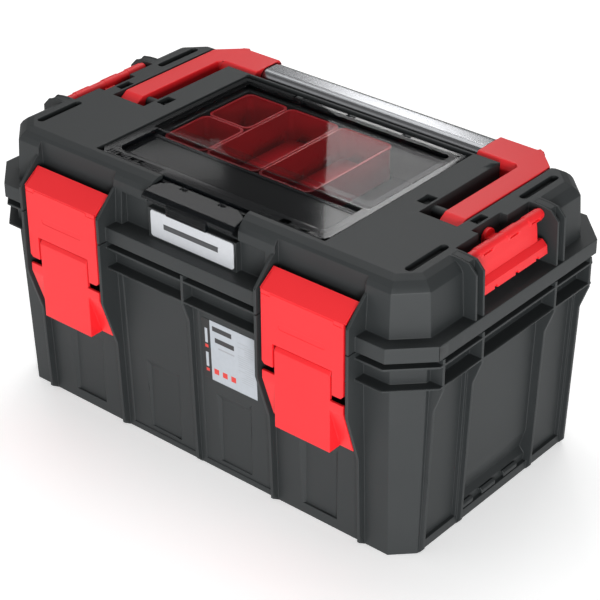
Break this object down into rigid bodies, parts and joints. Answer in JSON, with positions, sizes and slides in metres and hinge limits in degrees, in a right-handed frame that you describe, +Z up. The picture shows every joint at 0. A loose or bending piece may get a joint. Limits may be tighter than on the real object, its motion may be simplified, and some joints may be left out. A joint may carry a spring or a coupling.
{
  "type": "toolbox with tray",
  "caption": "Plastic toolbox with a hinged lid, lid organiser tray and bins under a clear cover, folding tube handle, draw latches and side clips.",
  "frame": {"origin": "centre of the bottom face, on the surface that the box stands on", "axes": "+X to the right along the front, -Y towards the front with the latches, +Z up"},
  "size_m": [0.546, 0.3316, 0.2914],
  "materials": {
    "body_plastic": "fine moulded grain",
    "red_plastic": "satin moulded",
    "bin_plastic": "translucent dark red moulded",
    "smoked_clear": "smoked clear plastic",
    "aluminium_tube": "brushed, anodised",
    "steel_pin": "plain steel",
    "label": null
  },
  "bodies": {
    "base": {"base_shell": "body_plastic", "base_floor": "body_plastic", "foot_pocket_left": "body_plastic", "foot_pocket_right": "body_plastic", "hinge_pin_left": "steel_pin", "hinge_pin_right": "steel_pin", "front_label": "label"},
    "lid": {"lid_shell": "body_plastic", "lid_front_panel": "body_plastic", "lid_rear_deck": "body_plastic", "organiser_tray": "body_plastic", "tray_floor": "body_plastic", "bin_small_front": "bin_plastic", "bin_small_rear": "bin_plastic", "bin_long_middle": "bin_plastic", "bin_long_right": "bin_plastic", "badge_plate": "label", "cover_hinge_rod": "steel_pin", "handle_pin_left": "steel_pin", "handle_pin_right": "steel_pin", "clip_pin_left": "steel_pin", "clip_pin_right": "steel_pin", "latch_pin_left": "steel_pin", "latch_pin_right": "steel_pin"},
    "cover": {"window_cover": "smoked_clear", "cover_tab_pin": "steel_pin"},
    "tab": {"cover_tab": "smoked_clear"},
    "handle": {"handle_arm_left": "red_plastic", "handle_arm_right": "red_plastic", "grip_tube": "aluminium_tube", "handle_screws": "steel_pin"},
    "latch_left": {"latch_plate_left": "red_plastic", "lever_pin_left": "steel_pin"},
    "latch_right": {"latch_plate_right": "red_plastic", "lever_pin_right": "steel_pin"},
    "lever_left": {"latch_lever_left": "red_plastic"},
    "lever_right": {"latch_lever_right": "red_plastic"},
    "clip_left": {"side_clip_left": "red_plastic"},
    "clip_right": {"side_clip_right": "red_plastic"}
  },
  "joints": [
    {"name": "lid_hinge", "type": "hinge", "parent": "base", "child": "lid", "pos_m": [0, 0.1588, 0.222], "axis": [-1, 0, 0], "range_deg": [0, 100]},
    {"name": "handle_pivot", "type": "hinge", "parent": "lid", "child": "handle", "pos_m": [0, 0, 0.2835], "axis": [1, 0, 0], "range_deg": [0, 90]},
    {"name": "cover_hinge", "type": "hinge", "parent": "lid", "child": "cover", "pos_m": [0, 0.0955, 0.2865], "axis": [-1, 0, 0], "range_deg": [0, 92]},
    {"name": "cover_tab_pivot", "type": "hinge", "parent": "cover", "child": "tab", "pos_m": [0, -0.1212, 0.2852], "axis": [-1, 0, 0], "range_deg": [0, 40]},
    {"name": "latch_left_pivot", "type": "hinge", "parent": "lid", "child": "latch_left", "pos_m": [-0.1525, -0.1485, 0.2535], "axis": [-1, 0, 0], "range_deg": [0, 100]},
    {"name": "latch_right_pivot", "type": "hinge", "parent": "lid", "child": "latch_right", "pos_m": [0.1525, -0.1485, 0.2535], "axis": [-1, 0, 0], "range_deg": [0, 100]},
    {"name": "lever_left_pivot", "type": "hinge", "parent": "latch_left", "child": "lever_left", "pos_m": [-0.1525, -0.1598, 0.1885], "axis": [-1, 0, 0], "range_deg": [0, 90]},
    {"name": "lever_right_pivot", "type": "hinge", "parent": "latch_right", "child": "lever_right", "pos_m": [0.1525, -0.1598, 0.1885], "axis": [-1, 0, 0], "range_deg": [0, 90]},
    {"name": "clip_left_pivot", "type": "hinge", "parent": "lid", "child": "clip_left", "pos_m": [-0.251, 0, 0.284], "axis": [0, 1, 0], "range_deg": [0, 150]},
    {"name": "clip_right_pivot", "type": "hinge", "parent": "lid", "child": "clip_right", "pos_m": [0.251, 0, 0.284], "axis": [0, -1, 0], "range_deg": [0, 150]}
  ]
}
